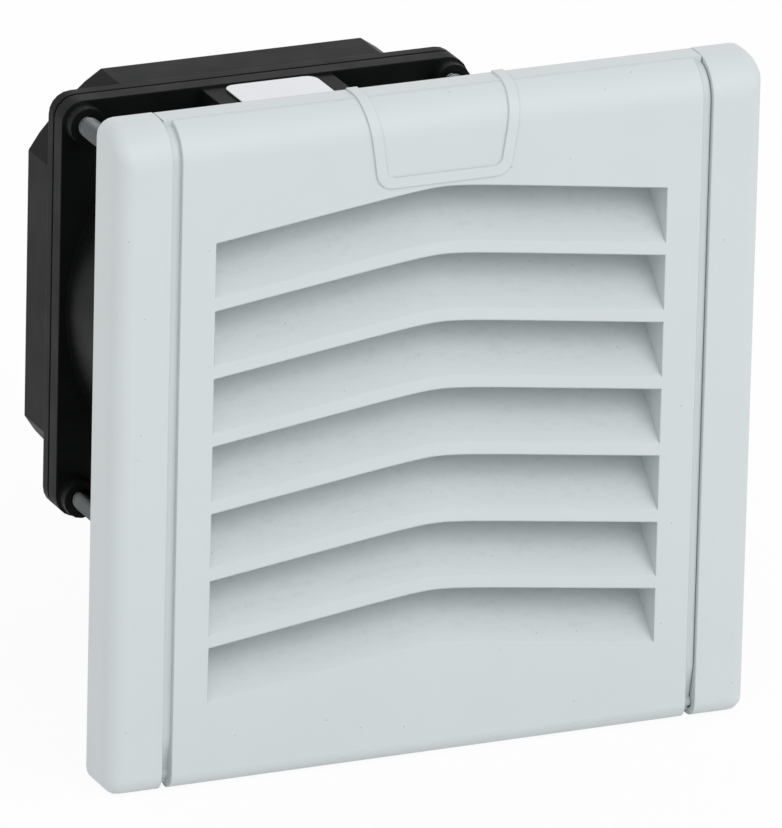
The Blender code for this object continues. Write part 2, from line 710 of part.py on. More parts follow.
def fan_frame(look):
    """Cast frame: flanges, duct, label pad, rear collar, struts and motor base with its tube."""
    frame = rod("fan_frame", DUCT_OUTER, FAN_FRONT, FAN_BACK)
    collar = fan_flange("collar", FLANGE_BACK - MM, FAN_BACK, COLLAR_HALF)
    keep(collar, rod("collar_round", COLLAR_RADIUS, FAN_FRONT, FAN_BACK + MM))
    add(frame, fan_flange("front_flange", FAN_FRONT, SPACE_FRONT), collar)
    rear = fan_flange("rear_flange", FLANGE_FRONT, FLANGE_BACK)
    groove = fan_flange("groove", FLANGE_BACK - REAR_LIP - FLANGE_GROOVE, FLANGE_BACK - REAR_LIP, HALF)
    shallow = FAN_HALF - FLANGE_GROOVE
    cut(groove, fan_flange("groove_floor", FLANGE_FRONT, FLANGE_BACK, shallow))
    cut(rear, groove)
    add(frame, rear)
    pad_top = FAN_HALF - PAD_RECESS
    add(frame, box(
        "label_pad",
        (-PAD_WIDTH / 2, FAN_FRONT + MM, DUCT_RADIUS - MM),
        (PAD_WIDTH / 2, FLANGE_FRONT + MM, pad_top),
    ))
    for x, z in hole_places():
        spacer_front = FLANGE_FRONT - SPACER_LENGTH
        add(frame, rod("spacer", SPACER_RADIUS, spacer_front, FLANGE_FRONT + MM, x, z, SMALL_SEGMENTS))
    cut(frame, rod("duct", DUCT_RADIUS, FAN_FRONT - MM, FAN_BACK + MM))
    for x, z in hole_places():
        cut(frame, rod("hole", HOLE_RADIUS, FAN_FRONT - MM, FLANGE_BACK + MM, x, z, SMALL_SEGMENTS))
    cut(frame, earth_hole())
    spider = rod("motor_base", HUB_RADIUS, BASE_FRONT, FAN_BACK)
    for index in range(STRUT_COUNT):
        strut = box(
            "strut",
            (HUB_RADIUS / 2, FAN_BACK - STRUT_DEPTH, HUB_RADIUS / 2 - STRUT_WIDTH),
            (DUCT_RADIUS + DUCT_WALL / 2, FAN_BACK, HUB_RADIUS / 2),
        )
        turn(strut, 360 * index / STRUT_COUNT + 20)
        add(spider, strut)
    add(spider, rod("bearing_tube", TUBE_RADIUS, TUBE_START, FAN_BACK - BASE_THICKNESS / 2))
    cut(spider, rod("bearing_bore", TUBE_BORE, TUBE_START - MM, BASE_FRONT + BASE_THICKNESS / 2))
    add(frame, spider)
    return finish(frame, "fan_frame", look)


def label(look):
    """Bare sticker on the label pad."""
    low = FAN_HALF - LABEL_THICKNESS
    front = SPACE_FRONT + LABEL_FRONT_MARGIN
    back = FLANGE_FRONT - LABEL_BACK_MARGIN
    half = LABEL_WIDTH / 2
    outline = rounded(-half, half, front, back, LABEL_CORNER)
    sticker = loft("fan_label", [[(x, y, z) for x, y in outline] for z in (low, FAN_HALF)])
    return finish(sticker, "fan_label", look)


def fan_screw(index, look):
    """Long pan-head screw through both flanges into a boss of the base frame."""
    x, z = hole_places()[index]
    seat = FLANGE_BACK + GAP
    top = seat + SCREW_HEAD_HEIGHT
    tip = FAN_FRONT - SCREW_BITE
    profile = [
        (SCREW_RADIUS * 0.5, tip), (SCREW_RADIUS, tip + MM), (SCREW_RADIUS, seat),
        (SCREW_HEAD_RADIUS, seat), (SCREW_HEAD_RADIUS, seat + SCREW_HEAD_HEIGHT * 0.6),
        (SCREW_HEAD_RADIUS * 0.8, seat + SCREW_HEAD_HEIGHT * 0.9), (SCREW_HEAD_RADIUS * 0.5, top),
    ]
    screw = turned("fan_screw", profile, SMALL_SEGMENTS, x, z)
    slot_half = SCREW_HEAD_RADIUS * 0.6
    blade = 0.4 * MM
    for wide, tall in ((slot_half, blade), (blade, slot_half)):
        low = (x - wide, top - SCREW_HEAD_HEIGHT / 2, z - tall)
        cut(screw, box("drive", low, (x + wide, top + MM, z + tall)))
    return finish(screw, f"fan_screw_{index + 1}", look)


def blade(name, start):
    """One twisted blade, rooted in the hub wall and ending short of the duct."""
    root = HUB_RADIUS - HUB_WALL / 2
    tip = DUCT_RADIUS - TIP_CLEARANCE
    front = HUB_START + 2 * MM
    rows = 6
    columns = 6
    loops = []
    for row in range(rows + 1):
        share = row / rows
        radius = root + (tip - root) * share
        sweep = math.radians(58 - 12 * share)
        side_a = []
        side_b = []
        for column in range(columns + 1):
            along = column / columns
            y = front + BLADE_LENGTH * along
            bow = 0.22 * math.sin(math.pi * along)
            angle = start + math.radians(14) * share + sweep * (along - 0.5 + bow)
            half = BLADE_THICKNESS * (0.35 + 0.65 * math.sin(math.pi * (0.15 + 0.7 * along))) / 2 / radius
            side_a.append((radius * math.cos(angle + half), y, radius * math.sin(angle + half)))
            side_b.append((radius * math.cos(angle - half), y, radius * math.sin(angle - half)))
        loops.append(side_a + side_b[::-1])
    return loft(name, loops)


def impeller(look):
    """Hub cup with its twisted blades."""
    inner = HUB_RADIUS - HUB_WALL
    profile = [(HUB_RADIUS - MM, HUB_START), (HUB_RADIUS, HUB_START + MM), (HUB_RADIUS, HUB_END)]
    wheel = turned("impeller", profile, ROUND_SEGMENTS)
    for index in range(BLADE_COUNT):
        add(wheel, blade("blade", 2 * math.pi * index / BLADE_COUNT))
    cut(wheel, rod("hub_hollow", inner, HUB_START + HUB_WALL, HUB_END + MM))
    return finish(wheel, "impeller", look)


def rotor_cup(look):
    """Steel cup inside the hub, carried by the shaft."""
    cup = rod("rotor_cup", CUP_RADIUS, CUP_START, CUP_END)
    cut(cup, rod("inside", CUP_RADIUS - ROTOR_WALL, CUP_START + ROTOR_DISC, CUP_END + MM))
    cut(cup, rod("bore", SHAFT_RADIUS + GAP, CUP_START - MM, CUP_END, segments=SMALL_SEGMENTS))
    return finish(cup, "rotor_cup", look)


def shaft(look):
    """Shaft from the rotor cup to the retaining ring behind the rear bearing."""
    end = BASE_FRONT + GAP
    profile = [
        (SHAFT_RADIUS * 0.8, CUP_START), (SHAFT_RADIUS, CUP_START + 0.4 * MM),
        (SHAFT_RADIUS, end - 0.4 * MM), (SHAFT_RADIUS * 0.8, end),
    ]
    return finish(turned("rotor_shaft", profile, 24), "rotor_shaft", look)


def ring(name, inner, outer, front, back, look, segments=24):
    """Plain turned ring on the fan's axis."""
    return finish(tube(name, inner, outer, front, back, segments), name, look)


def stator_core(look):
    """Laminated core: a ring on the bearing tube with poles and their shoes."""
    core = tube("stator_core", CORE_BORE, CORE_BORE + CORE_RING, CORE_START, CORE_END)
    shoes = tube("shoes", SHOE_RADIUS, CORE_RADIUS, CORE_START, CORE_END)
    for index in range(POLE_COUNT):
        start = 360 * index / POLE_COUNT + SHOE_HALF_ANGLE
        end = start + 360 / POLE_COUNT - 2 * SHOE_HALF_ANGLE
        wedge = [(0, 0)]
        for angle in (math.radians(start), math.radians(end)):
            wedge.append((2 * CORE_RADIUS * math.cos(angle), 2 * CORE_RADIUS * math.sin(angle)))
        cut(shoes, plate("wedge", wedge, CORE_START - MM, CORE_END + MM))
    for index in range(POLE_COUNT):
        pole = box(
            "pole",
            (CORE_BORE + CORE_RING / 2, CORE_START, -POLE_WIDTH / 2),
            (SHOE_RADIUS + SHOE_THICKNESS / 2, CORE_END, POLE_WIDTH / 2),
        )
        turn(pole, 360 * index / POLE_COUNT)
        add(core, pole)
    add(core, shoes)
    return finish(core, "stator_core", look)


def coil(index, look):
    """Winding round one pole."""
    near = CORE_BORE + CORE_RING + GAP
    inner = POLE_WIDTH / 2 + GAP
    far = math.sqrt(SHOE_RADIUS ** 2 - (inner + COIL_THICKNESS) ** 2) - GAP
    length = CORE_LENGTH / 2 + GAP
    loops = []
    for half, reach in (
        (inner + COIL_THICKNESS, length + COIL_THICKNESS), (inner, length),
    ):
        outline = rounded(-half, half, -reach, reach, max(half - inner, 0.4 * MM), 3)
        for x in ((near, far) if half > inner else (far, near)):
            loops.append([(x, CORE_MIDDLE + b, a) for a, b in outline])
    winding = loft("coil", loops, closed=True)
    turn(winding, 360 * index / POLE_COUNT)
    return finish(winding, f"stator_coil_{index + 1}", look)


def block_span():
    """Left side, bottom and top of the terminal block, between the duct and the lower screw."""
    left = FAN_HALF - GAP - BLOCK_WIDTH
    top = -math.sqrt((DUCT_OUTER + 2 * GAP) ** 2 - left ** 2)
    bottom = SPACER_RADIUS + BLOCK_MARGIN - HOLE
    return left, bottom, top


def terminal_block(look):
    """Moulded block for the two spade tabs, in front of the rear flange."""
    left, bottom, top = block_span()
    back = FLANGE_FRONT - GAP
    block = box("terminal_block", (left, back - BLOCK_DEPTH, bottom), (left + BLOCK_WIDTH, back, top))
    for index in range(2):
        low, high = tab_box(index)
        margin = Vector((GAP, 0, GAP))
        cut(block, box("slot", Vector(low) - margin, Vector(high) + margin + Vector((0, GAP, 0))))
    return finish(block, "terminal_block", look)


def tab_box(index):
    """Corners of one spade tab."""
    left, bottom, top = block_span()
    x = left + BLOCK_WIDTH / 2
    z = bottom + (top - bottom) * (0.25 + 0.5 * index)
    back = FLANGE_FRONT - GAP - BLOCK_DEPTH / 3
    low = (x - TAB_WIDTH / 2, SPACE_FRONT + TAB_ROOM, z - TAB_THICKNESS / 2)
    high = (x + TAB_WIDTH / 2, back, z + TAB_THICKNESS / 2)
    return low, high


def terminal_tab(index, look):
    """Spade tab in its slot of the terminal block."""
    low, high = tab_box(index)
    return finish(box("tab", low, high), f"terminal_tab_{index + 1}", look)


def earth_place():
    """Axis of the earth screw as (x, z), in the upper right corner between the flanges."""
    x = FAN_HALF - EARTH_WIDTH / 2 - GAP
    return x, HOLE - SPACER_RADIUS - EARTH_HEIGHT / 2 - 2 * GAP


def earth_hole():
    """Hole for the earth screw in the rear flange."""
    x, z = earth_place()
    radius = EARTH_SCREW_RADIUS + GAP
    return rod("earth_hole", radius, FLANGE_FRONT - MM, FLANGE_BACK - MM, x, z, TINY_SEGMENTS)


def earth_tab(look):
    """Bent spade tab held on the rear flange by the earth screw."""
    x, z = earth_place()
    back = FLANGE_FRONT - GAP
    front = back - EARTH_THICKNESS
    low = z - EARTH_HEIGHT / 2
    half = EARTH_WIDTH / 2
    tab = box("earth_tab", (x - half, front, low), (x + half, back, z + EARTH_HEIGHT / 2))
    add(tab, box(
        "spade",
        (x - half, front - EARTH_TAB_LENGTH, low),
        (x + half, front + EARTH_THICKNESS / 2, low + EARTH_THICKNESS),
    ))
    cut(tab, rod("hole", EARTH_SCREW_RADIUS + GAP, front - MM, back + MM, x, z, TINY_SEGMENTS))
    return finish(tab, "earth_tab", look)


def earth_screw(look):
    """Short screw that holds the earth tab."""
    x, z = earth_place()
    seat = FLANGE_FRONT - EARTH_THICKNESS - 2 * GAP
    profile = [
        (EARTH_HEAD_RADIUS * 0.7, seat - EARTH_HEAD_HEIGHT),
        (EARTH_HEAD_RADIUS, seat - EARTH_HEAD_HEIGHT / 2),
        (EARTH_HEAD_RADIUS, seat), (EARTH_SCREW_RADIUS, seat),
        (EARTH_SCREW_RADIUS, FLANGE_FRONT + REAR_FLANGE / 2),
    ]
    return finish(turned("earth_screw", profile, TINY_SEGMENTS, x, z), "earth_screw", look)


def main():
    """Clear the file and build every piece."""
    for old in list(bpy.data.objects):
        bpy.data.objects.remove(old)

    pale = material("pale_plastic", (0.64, 0.68, 0.69), 0.45)
    black = material("black_casting", (0.012, 0.012, 0.012), 0.5, 0.3)
    wheel = material("black_plastic", (0.010, 0.010, 0.011), 0.4)
    zinc = material("zinc_steel", (0.62, 0.62, 0.60), 0.3, 1.0)
    steel = material("plain_steel", (0.38, 0.38, 0.39), 0.35, 1.0)
    copper = material("enamelled_copper", (0.45, 0.16, 0.06), 0.35, 0.8)
    brass = material("tinned_brass", (0.70, 0.66, 0.52), 0.3, 1.0)
    fleece = material("filter_fleece", (0.78, 0.79, 0.78), 0.95)
    foam = material("gasket_foam", (0.03, 0.03, 0.03), 0.9)
    sticker = material("bare_sticker", (0.66, 0.67, 0.68), 0.35)

    base_frame(pale)
    louvre_cover(pale)
    filter_mat(fleece)
    support_grid(pale)
    gasket(foam)
    for index in range(4):
        spring_clip(index, wheel)
    fan_frame(black)
    label(sticker)
    for index in range(4):
        fan_screw(index, zinc)
    impeller(wheel)
    rotor_cup(steel)
    shaft(steel)
    bore = SHAFT_RADIUS + GAP
    ring("bearing_front", bore, BEARING_RADIUS, FRONT_BEARING, FRONT_BEARING + BEARING_WIDTH, steel)
    ring("bearing_rear", bore, BEARING_RADIUS, REAR_BEARING, REAR_BEARING + BEARING_WIDTH, steel)
    spacer = (FRONT_BEARING + BEARING_WIDTH + GAP, REAR_BEARING - GAP)
    ring("bearing_spacer", BEARING_RADIUS - 1.2 * MM, BEARING_RADIUS, *spacer, zinc)
    clip_front = REAR_BEARING + BEARING_WIDTH + GAP
    ring("shaft_clip", bore, bore + CLIP_RING, clip_front, clip_front + CLIP_RING_THICKNESS, steel)
    stator_core(steel)
    for index in range(POLE_COUNT):
        coil(index, copper)
    terminal_block(wheel)
    for index in range(2):
        terminal_tab(index, brass)
    earth_tab(brass)
    earth_screw(zinc)


main()
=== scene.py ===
"""Looks of a cabinet filter fan, laid out as an add-on and run as a script.

Metres. X points right, Y into the cabinet and Z up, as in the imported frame.
"""
import json
import math
import random

import bpy
from bpy.props import FloatProperty, FloatVectorProperty, IntProperty, PointerProperty
from mathutils import Matrix, Vector

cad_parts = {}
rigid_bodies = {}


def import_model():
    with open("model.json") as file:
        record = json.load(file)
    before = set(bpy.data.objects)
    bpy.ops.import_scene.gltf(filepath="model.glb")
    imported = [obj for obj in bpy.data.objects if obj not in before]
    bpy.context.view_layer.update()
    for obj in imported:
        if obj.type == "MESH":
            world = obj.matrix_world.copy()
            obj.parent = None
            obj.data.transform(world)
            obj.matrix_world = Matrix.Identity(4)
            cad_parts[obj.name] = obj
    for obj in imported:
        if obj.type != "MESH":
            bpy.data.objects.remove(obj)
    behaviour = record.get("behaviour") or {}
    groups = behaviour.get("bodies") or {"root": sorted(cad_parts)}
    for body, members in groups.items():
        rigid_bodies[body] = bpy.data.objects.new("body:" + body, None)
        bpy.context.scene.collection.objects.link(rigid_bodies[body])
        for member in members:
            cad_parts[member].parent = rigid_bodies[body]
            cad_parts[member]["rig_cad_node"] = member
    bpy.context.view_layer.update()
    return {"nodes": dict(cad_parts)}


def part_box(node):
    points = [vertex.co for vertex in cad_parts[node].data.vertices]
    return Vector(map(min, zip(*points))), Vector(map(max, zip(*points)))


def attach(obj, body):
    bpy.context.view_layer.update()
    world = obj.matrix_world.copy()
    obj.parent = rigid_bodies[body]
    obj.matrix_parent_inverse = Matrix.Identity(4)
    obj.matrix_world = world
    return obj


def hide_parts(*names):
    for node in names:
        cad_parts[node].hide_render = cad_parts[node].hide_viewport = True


bl_info = {
    "name": "Cabinet filter fan",
    "version": (1, 0, 0),
    "blender": (4, 5, 0),
    "location": "View3D > Sidebar > Filter fan",
    "description": "Dresses the frame of a cabinet filter fan with finished pieces",
    "category": "Object",
}

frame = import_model()

MM = 0.001

# Places read from the frame
FACE_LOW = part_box("base_frame")[0]
MAT_LOW, MAT_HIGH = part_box("filter_mat")

# Inner walls of the face's strips from the middle, and how near a point lies to count as on one
STRIP_INNER = 48.7 * MM
ON_WALL = 0.02 * MM

# Half the louvre field's width
FIELD_HALF = 40.6 * MM

# Edge radius of the thin sticker
STICKER_EDGE = 0.05 * MM

# Copies of CAD nodes: points this close are merged, and flats this even are made anew
MERGE_DISTANCE = 0.004 * MM
FLAT_ANGLE = math.radians(0.4)

# Edges sharper than this are rounded and stay sharp in shading; on the screws shading needs a sharper one
EDGE_ANGLE = math.radians(32)
THREAD_ANGLE = math.radians(40)

# Pull of a large face on the shading of the rounding beside it
FLAT_WEIGHT = 60

# Filter mat: cells along its side, the size of its lumps and their height from lowest to highest in lofts
MAT_CELLS = 90
LUMP_SIZE = 5 * MM
LUMP_HEIGHT = 1.2

# Loose fibres: how deep in the mat their ends lie, their sizes, the most that one turns in radians, the
# most that one rises in radii, straight pieces in each and the random seed
FIBRE_DEPTH = 0.45 * MM
FIBRE_LENGTH = (4 * MM, 11 * MM)
FIBRE_RADIUS = (0.022 * MM, 0.04 * MM)
FIBRE_CURL = 1.4
FIBRE_RISE = 5
FIBRE_STEPS = 6
FIBRE_SEED = 11

# Fan screws: thread's height, how far it ends from the tip and from the head's top, steps in one turn
THREAD_HEIGHT = 0.22 * MM
THREAD_FOOT = 0.6 * MM
THREAD_HEAD = 3.4 * MM
THREAD_STEPS = 14

# Thread's three-sided profile: its radius, how far its middle is from the root and its side, in thread
# heights, and its width in pitches
PROFILE_RADIUS = 1.1
PROFILE_MIDDLE = 0.35
PROFILE_SIDE = 1.9
PROFILE_WIDTH = 0.62

# Stage: floor, and where its two lights stand
FLOOR_SIZE = 12.0
FLOOR_GAP = 0.2 * MM
KEY_PLACE = (0.6, -1.5, 1.15)
KEY_SIZE = 1.5
FILL_PLACE = (-1.5, -0.9, 1.2)
FILL_SIZE = 1.2
WHITE = (1.0, 1.0, 1.0, 1.0)

# Photograph's frame in pixels, and where its camera stood
PHOTO_WIDTH = 782
PHOTO_HEIGHT = 828
SENSOR = 36.0
FOCAL_PIXELS = 15052.0
CAMERA_YAW = math.radians(24.006)
CAMERA_PITCH = math.radians(20.216)
CAMERA_ROLL = math.radians(1.379)
CAMERA_DISTANCE = 2.5
CAMERA_AIM = Vector((-4.41 * MM, 0.0, 0.02 * MM))
CAMERA_NEAR = 0.01
CAMERA_FAR = 60.0


class Signal:
    """A shader socket that Python's operators work on by adding Math nodes."""

    def __init__(self, finish, socket):
        self.finish = finish
        self.socket = socket

    def math(self, operation, *values, clamp=False):
        """One Math node on these values."""
        settings = {"operation": operation, "use_clamp": clamp}
        return self.finish.node("ShaderNodeMath", settings, dict(enumerate(values)))

    def __add__(self, other):
        return self.math("ADD", self, other)

    __radd__ = __add__

    def __mul__(self, other):
        return self.math("MULTIPLY", self, other)

    __rmul__ = __mul__

    def __sub__(self, other):
        return self.math("SUBTRACT", self, other)

    def __rsub__(self, other):
        return self.math("SUBTRACT", other, self)

    def __lt__(self, other):
        return self.math("LESS_THAN", self, other)

    def clamped(self):
        """The same value held between 0 and 1."""
        return self.math("ADD", self, 0.0, clamp=True)

    def output(self, name):
        """Another output of the node that this signal comes from."""
        return Signal(self.finish, self.socket.node.outputs[name])


class Nodes:
    """A node tree and the one way in which nodes are added to it."""

    def __init__(self, tree):
        self.tree = tree

    def node(self, kind, settings, sockets, output=0):
        """Add a node, make its settings, then give its sockets their values or links."""
        made = self.tree.nodes.new(kind)
        for name, value in settings.items():
            setattr(made, name, value)
        for name, value in sockets.items():
            self.feed(made.inputs[name], value)
        return Signal(self, made.outputs[output])

    def feed(self, socket, value):
        """Link a signal to a socket, or set the socket's own value."""
        if isinstance(value, Signal):
            self.tree.links.new(value.socket, socket)
        else:
            socket.default_value = value

    def backdrop_rays(self):
        """1 for the rays that should find a white backdrop, 0 for the rest."""
        path = self.node("ShaderNodeLightPath", {}, {}, "Is Camera Ray")
        return (path + path.output("Is Glossy Ray") + path.output("Is Transmission Ray")).clamped()


class Finish(Nodes):
    """One material built on a Principled shader."""

    def __init__(self, name, colour, metallic=0.0, edge=0.0):
        self.material = bpy.data.materials.new(name)
        self.material.use_nodes = True
        self.material.diffuse_color = (*colour, 1.0)
        super().__init__(self.material.node_tree)
        self.shader = self.tree.nodes["Principled BSDF"]
        self.colour = (*colour, 1.0)
        self.set("Base Color", self.colour)
        self.set("Metallic", metallic)
        self.place = self.node("ShaderNodeTexCoord", {}, {}, "Object")
        self.edge = edge

    def set(self, name, value):
        """Feed one socket of the shader."""
        self.feed(self.shader.inputs[name], value)

    def noise(self, size, detail=2.0, rough=0.5, stretch=(1.0, 1.0, 1.0)):
        """Noise from 0 to 1 whose features are about this size."""
        where = self.place
        if stretch != (1.0, 1.0, 1.0):
            where = self.node("ShaderNodeMapping", {}, {"Vector": self.place, "Scale": stretch})
        sockets = {"Vector": where, "Scale": 1.0 / size, "Detail": detail, "Roughness": rough}
        return self.node("ShaderNodeTexNoise", {}, sockets, "Fac")

    def specks(self, spacing, radius, share):
        """Mask of small ragged specks of a radius, in a share of the cells of this spacing."""
        sockets = {"Vector": self.place, "Scale": 1.0 / spacing}
        near = self.node("ShaderNodeTexVoronoi", {}, sockets, "Distance")
        parts = self.node("ShaderNodeSeparateColor", {}, {"Color": near.output("Color")}, "Red")
        ragged = near + 0.6 * radius / spacing * self.noise(radius, 1.0)
        return (ragged < 1.3 * radius / spacing) * (parts < share)

    def behind(self, depth, soft):
        """0 on the front of the face, rising to 1 at a depth along Y over a soft length."""
        y = self.node("ShaderNodeSeparateXYZ", {}, {"Vector": self.place}, "Y")
        return ((y - depth) * (1.0 / soft)).clamped()

    def within(self, half):
        """1 inside a square of this half width round the Y axis, 0 outside."""
        parts = self.node("ShaderNodeSeparateXYZ", {}, {"Vector": self.place}, "X")
        across = parts.math("ABSOLUTE", parts)
        along = parts.math("ABSOLUTE", parts.output("Z"))
        return (across < half) * (along < half)

    def mix(self, factor, first, second):
        """Blend of two colours."""
        sockets = {0: factor, 6: first, 7: second}
        return self.node("ShaderNodeMix", {"data_type": "RGBA"}, sockets, 2)

    def bump(self, height, depth, strength):
        """Raise the surface by a height signal times a depth in metres, on softened edges."""
        sockets = {"Height": height, "Distance": depth, "Strength": strength}
        if self.edge > 0:
            radius = {"Radius": self.edge}
            sockets["Normal"] = self.node("ShaderNodeBevel", {"samples": 6}, radius, "Normal")
        self.set("Normal", self.node("ShaderNodeBump", {}, sockets, "Normal"))

    def scaled(self, factor):
        """The finish's own colour times a factor."""
        return tuple(min(1.0, part * factor) for part in self.colour[:3]) + (1.0,)

    def tone(self, mask, factor):
        """Scale the base colour where a mask is high."""
        colour = self.mix(mask, self.colour, self.scaled(factor))
        self.set("Base Color", colour)
        return colour


def pale_plastic(look):
    """Fine spark-eroded moulding with a faint cloud of tone, dust specks and darker mottled patches in the
    louvre slots.
    """
    finish = Finish("pale_plastic", look.pale_colour, edge=look.moulded_edge)
    cloud = finish.noise(14 * MM, 3.0)
    grain = finish.noise(0.16 * MM, 2.0, 0.6)
    tone = finish.mix(cloud * 0.5 + grain * 0.5, finish.colour, finish.scaled(0.94))
    # Darker mottled patches, kept to the louvre slots between the front of the face and the mat.
    slot_mottle = ((finish.noise(1.3 * MM, 6.0, 0.74, (0.5, 1.0, 1.0)) - 0.5) * 4.0).clamped()
    recess = finish.behind(FACE_LOW.y + 0.6 * MM, 1.6 * MM) * finish.within(FIELD_HALF)
    slots = recess * (1.0 - finish.behind(MAT_LOW.y, MM))
    tone = finish.mix(slots * slot_mottle * 0.2, tone, finish.scaled(0.5))
    dust = finish.specks(3.6 * MM, 0.15 * MM, 0.7)
    finish.set("Base Color", finish.mix(dust * 0.5, tone, (0.30, 0.32, 0.31, 1.0)))
    finish.set("Roughness", 0.40 + 0.12 * grain)
    finish.bump(grain, 0.012 * MM, 0.5)
    return finish.material


def black_casting(look):
    """Painted die casting: soft orange peel, dull patches and tiny pale nicks."""
    finish = Finish("black_casting", look.casting_colour, edge=look.cast_edge)
    finish.set("Specular IOR Level", look.casting_gloss)
    cloud = finish.noise(7 * MM, 4.0)
    peel = finish.noise(0.7 * MM, 3.0, 0.6)
    nicks = finish.specks(3.5 * MM, 0.11 * MM, 0.8)
    tone = finish.tone(cloud, 1.8)
    finish.set("Base Color", finish.mix(nicks * 0.5, tone, (0.12, 0.12, 0.12, 1.0)))
    finish.set("Roughness", 0.34 + 0.22 * cloud)
    finish.bump(peel, 0.04 * MM, 0.35)
    return finish.material


def black_plastic(look):
    """Glass-filled black plastic with a faint flow pattern."""
    finish = Finish("black_plastic", look.moulding_colour, edge=look.small_edge)
    finish.set("Specular IOR Level", look.casting_gloss)
    grain = finish.noise(0.3 * MM, 2.0)
    flow = finish.noise(4 * MM, 2.0, stretch=(1.0, 0.3, 1.0))
    finish.tone(flow, 1.6)
    finish.set("Roughness", 0.30 + 0.16 * grain)
    finish.bump(grain, 0.03 * MM, 0.4)
    return finish.material


def metal(name, colour, low_roughness, stretch, edge):
    """Bare metal with fine marks drawn out along one direction."""
    finish = Finish(name, colour, 1.0, edge)
    marks = finish.noise(0.35 * MM, 3.0, 0.6, stretch)
    cloud = finish.noise(3 * MM, 2.0)
    finish.tone(cloud, 0.8)
    finish.set("Roughness", low_roughness + 0.16 * marks)
    finish.bump(marks, 0.01 * MM, 0.5)
    return finish.material


def enamelled_copper(look):
    """Copper wire wound in close turns round a pole."""
    finish = Finish("enamelled_copper", look.copper_colour, 0.85)
    finish.set("Roughness", 0.3)
    finish.tone(finish.noise(1.2 * MM, 2.0), 0.7)
    turns = finish.node(
        "ShaderNodeTexWave", {"wave_type": "BANDS", "bands_direction": "Y"},
        {"Vector": finish.place, "Scale": 300.0, "Distortion": 0.5}, "Fac",
    )
    finish.bump(turns, 0.12 * MM, 0.9)
    return finish.material


def filter_fleece(look):
    """White loose fibre with painted shade: greyer in patches that follow the same noise as its bump."""
    finish = Finish("filter_fleece", look.fleece_colour)
    finish.set("Roughness", 0.95)
    tufts_and_shade = finish.noise(1.6 * MM, 6.0, 0.7)
    # Painted shade: up to a fifth greyer where the noise is high.
    finish.tone(tufts_and_shade, 0.78)
    finish.bump(tufts_and_shade, 0.4 * MM, 0.6)
    return finish.material


def gasket_foam(look):
    """Closed-cell foam."""
    finish = Finish("gasket_foam", look.foam_colour)
    finish.set("Roughness", 0.9)
    sockets = {"Vector": finish.place, "Scale": 2200.0}
    cells = finish.node("ShaderNodeTexVoronoi", {}, sockets, "Distance")
    finish.tone(cells, 2.2)
    finish.bump(cells, 0.12 * MM, 0.7)
    return finish.material


def bare_sticker(look):
    """Silver-white sticker with nothing printed on it."""
    finish = Finish("bare_sticker", look.sticker_colour)
    fibre = finish.noise(0.4 * MM, 3.0)
    cloud = finish.noise(5 * MM, 2.0)
    finish.tone(cloud, 0.94)
    finish.set("Roughness", 0.28 + 0.14 * fibre)
    finish.bump(fibre, 0.01 * MM, 0.4)
    return finish.material


# Materials made so far, by slot
FINISHES = {}


def finish_named(name):
    """Material of one of the record's slots, made once."""
    if name in FINISHES:
        return FINISHES[name]
    look = bpy.context.scene.filter_fan_look
    makers = {
        "pale_plastic": pale_plastic,
        "black_casting": black_casting,
        "black_plastic": black_plastic,
        "enamelled_copper": enamelled_copper,
        "filter_fleece": filter_fleece,
        "gasket_foam": gasket_foam,
        "bare_sticker": bare_sticker,
    }
    if name in makers:
        made = makers[name](look)
    else:
        colour, low_roughness, stretch = {
            "zinc_steel": (look.zinc_colour, 0.14, (1.0, 0.4, 1.0)),
            "plain_steel": (look.steel_colour, 0.28, (1.0, 0.1, 1.0)),
            "tinned_brass": (look.brass_colour, 0.24, (1.0, 0.2, 1.0)),
        }[name]
        made = metal(name, colour, low_roughness, stretch, look.small_edge)
    FINISHES[name] = made
    return made


def only(*chosen):
    """Select these objects and nothing else, with the first one active."""
    bpy.ops.object.select_all(action="DESELECT")
    for piece in chosen:
        piece.select_set(True)
    bpy.context.view_layer.objects.active = chosen[0]


def only_none():
    """Select nothing."""
    bpy.ops.object.select_all(action="DESELECT")


def apply_modifier(piece, kind, **settings):
    """Add a modifier, set it and apply it."""
    only(piece)
    modifier = piece.modifiers.new(kind.title(), kind)
    for name, value in settings.items():
        setattr(modifier, name, value)
    bpy.ops.object.modifier_apply(modifier=modifier.name)


def copy_node(node, name):
    """Copy of a CAD node with its loose triangles merged and made anew on each flat."""
    source = frame["nodes"][node]
    only(source)
    bpy.ops.object.duplicate()
    piece = bpy.context.active_object
    bpy.ops.object.parent_clear(type="CLEAR_KEEP_TRANSFORM")
    del piece["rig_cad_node"]
    piece.name = name
    piece.data.name = name
    bpy.ops.object.mode_set(mode="EDIT")
    bpy.ops.mesh.select_all(action="SELECT")
    bpy.ops.mesh.remove_doubles(threshold=MERGE_DISTANCE)
    bpy.ops.mesh.dissolve_limited(angle_limit=FLAT_ANGLE)
    bpy.ops.mesh.quads_convert_to_tris(quad_method="BEAUTY", ngon_method="BEAUTY")
    bpy.ops.object.mode_set(mode="OBJECT")
    return piece


def move_points(piece, wanted, offset):
    """Move the points that pass a test by an offset."""
    only(piece)
    bpy.ops.object.mode_set(mode="EDIT")
    bpy.ops.mesh.select_all(action="DESELECT")
    bpy.ops.object.mode_set(mode="OBJECT")
    for point in piece.data.vertices:
        point.select = wanted(point.co)
    bpy.ops.object.mode_set(mode="EDIT")
    bpy.ops.transform.translate(value=offset)
    bpy.ops.object.mode_set(mode="OBJECT")


def round_edges(piece, width):
    """Round every sharp edge, as far as the faces beside it leave room."""
    apply_modifier(
        piece, "BEVEL", width=width, segments=2, limit_method="ANGLE",
        angle_limit=EDGE_ANGLE, harden_normals=False, miter_outer="MITER_ARC",
    )


